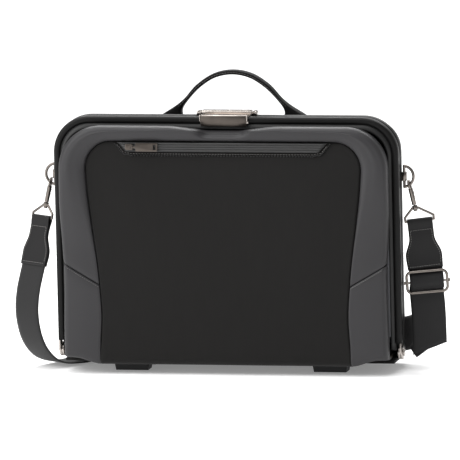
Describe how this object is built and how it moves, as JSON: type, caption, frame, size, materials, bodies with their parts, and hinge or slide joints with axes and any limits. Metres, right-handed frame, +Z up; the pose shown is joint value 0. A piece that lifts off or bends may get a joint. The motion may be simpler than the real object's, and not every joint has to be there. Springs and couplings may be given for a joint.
{
  "type": "briefcase",
  "caption": "soft laptop briefcase with a hinged leather-wrapped gate frame, combination latch, zip pocket, arched handle and shoulder strap",
  "frame": {"origin": "centre of the whole bag's base, on the surface that it stands on", "axes": "+X runs along the bag's width to the right seen from the front, -Y is the front with the zip pocket, +Z is up"},
  "size_m": [0.5235, 0.1416, 0.3529],
  "materials": {
    "leather": "smooth charcoal leather, satin",
    "frame_leather": "smooth black leather over steel",
    "front_fabric": "tight black polyester weave",
    "webbing": "black ribbed strap webbing",
    "lining": "grey twill lining",
    "board": "stiffener board",
    "pewter": "brushed gunmetal plating",
    "steel": "plain steel",
    "zip": "coated water-resistant tape",
    "rubber": "moulded foot"
  },
  "bodies": {
    "root": {"rear_frame_core": "steel", "rear_frame_wrap": "frame_leather", "hinge_leaves_rear": "pewter", "hinge_rivets": "pewter", "ring_keepers": "pewter", "rear_gusset": "leather", "back_panel": "front_fabric", "bottom_panel": "front_fabric", "base_board": "board", "foot_front_left": "rubber", "foot_front_right": "rubber", "foot_rear_left": "rubber", "foot_rear_right": "rubber", "foot_screws": "steel", "rear_lining": "lining", "laptop_divider": "lining", "handle_patches": "frame_leather", "handle_rivets": "pewter", "lock_housing": "pewter", "dial_axle": "steel", "side_gusset_left": "lining", "side_gusset_right": "lining", "front_skirt": "front_fabric", "strap_run": "webbing"},
    "lid": {"front_frame_core": "steel", "front_frame_wrap": "frame_leather", "hinge_leaves_front": "pewter", "front_surround": "leather", "lower_side_left": "leather", "lower_side_right": "leather", "front_panel": "front_fabric", "lid_lining": "lining", "pocket_bag": "lining", "zip_tape": "zip", "latch_base": "pewter", "latch_pin": "steel"},
    "latch_plate": {"latch_plate": "pewter"},
    "zip_slider": {"zip_slider": "pewter"},
    "zip_pull": {"zip_pull": "pewter"},
    "dial_1": {"dial_1": "pewter"},
    "dial_2": {"dial_2": "pewter"},
    "dial_3": {"dial_3": "pewter"},
    "release_left": {"release_button_left": "pewter"},
    "release_right": {"release_button_right": "pewter"},
    "handle": {"handle": "frame_leather"},
    "strap_end_left": {"d_ring_left": "pewter", "swivel_loop_left": "pewter", "strap_tab_left": "leather", "strap_drop_left": "webbing"},
    "hook_left": {"hook_left": "pewter"},
    "hook_bolt_left": {"hook_bolt_left": "pewter"},
    "strap_end_right": {"d_ring_right": "pewter", "swivel_loop_right": "pewter", "strap_tab_right": "leather", "strap_drop_right": "webbing"},
    "hook_right": {"hook_right": "pewter"},
    "hook_bolt_right": {"hook_bolt_right": "pewter"},
    "adjuster": {"adjuster_ring": "pewter", "adjuster_bar": "pewter", "adjuster_wrap": "webbing"}
  },
  "joints": [
    {"name": "case_open", "type": "hinge", "parent": "root", "child": "lid", "pos_m": [0, -0.033, 0.024], "axis": [1, 0, 0], "range_deg": [0, 30], "deforming": ["front_skirt", "side_gusset_left", "side_gusset_right"]},
    {"name": "latch_lift", "type": "hinge", "parent": "lid", "child": "latch_plate", "pos_m": [0, -0.0494, 0.3042], "axis": [-1, 0, 0], "range_deg": [0, 70], "stiffness_Nm_per_rad": 0.02},
    {"name": "zip_slide", "type": "slide", "parent": "lid", "child": "zip_slider", "axis": [1, 0, 0], "range_m": [0, 0.22]},
    {"name": "zip_pull_swing", "type": "hinge", "parent": "zip_slider", "child": "zip_pull", "pos_m": [-0.107, -0.06804, 0.27053], "axis": [0, -0.0364, -0.9993], "range_deg": [0, 150]},
    {"name": "dial_1_turn", "type": "hinge", "parent": "root", "child": "dial_1", "pos_m": [-0.0162, -0.0265, 0.306], "axis": [1, 0, 0], "continuous": true},
    {"name": "dial_2_turn", "type": "hinge", "parent": "root", "child": "dial_2", "pos_m": [0, -0.0265, 0.306], "axis": [1, 0, 0], "continuous": true},
    {"name": "dial_3_turn", "type": "hinge", "parent": "root", "child": "dial_3", "pos_m": [0.0162, -0.0265, 0.306], "axis": [1, 0, 0], "continuous": true},
    {"name": "release_left_slide", "type": "slide", "parent": "root", "child": "release_left", "axis": [-1, 0, 0], "range_m": [0, 0.003], "stiffness_N_per_m": 400},
    {"name": "release_right_slide", "type": "slide", "parent": "root", "child": "release_right", "axis": [1, 0, 0], "range_m": [0, 0.003], "stiffness_N_per_m": 400},
    {"name": "handle_fold", "type": "hinge", "parent": "root", "child": "handle", "pos_m": [0, 0.009, 0.3054], "axis": [1, 0, 0], "range_deg": [-55, 55]},
    {"name": "ring_swing_left", "type": "hinge", "parent": "root", "child": "strap_end_left", "pos_m": [-0.2104, -0.025, 0.232], "axis": [0, 0, 1], "range_deg": [-35, 8], "deforming": ["strap_drop_left"]},
    {"name": "hook_swivel_left", "type": "hinge", "parent": "strap_end_left", "child": "hook_left", "pos_m": [-0.2164, -0.025, 0.2218], "axis": [-0.2241, 0, -0.9746], "range_deg": [-20, 20]},
    {"name": "hook_bolt_left_slide", "type": "slide", "parent": "hook_left", "child": "hook_bolt_left", "axis": [-0.2241, 0, -0.9746], "range_m": [0, 0.005], "stiffness_N_per_m": 300},
    {"name": "ring_swing_right", "type": "hinge", "parent": "root", "child": "strap_end_right", "pos_m": [0.2104, -0.025, 0.232], "axis": [0, 0, 1], "range_deg": [0, 30], "deforming": ["strap_drop_right"]},
    {"name": "hook_swivel_right", "type": "hinge", "parent": "strap_end_right", "child": "hook_right", "pos_m": [0.2164, -0.025, 0.2218], "axis": [0.2241, 0, -0.9746], "range_deg": [-20, 20]},
    {"name": "hook_bolt_right_slide", "type": "slide", "parent": "hook_right", "child": "hook_bolt_right", "axis": [0.2241, 0, -0.9746], "range_m": [0, 0.005], "stiffness_N_per_m": 300},
    {"name": "adjuster_slide", "type": "slide", "parent": "strap_end_right", "child": "adjuster", "axis": [0.0973, 0.0207, -0.995], "range_m": [-0.004, 0.035]}
  ]
}
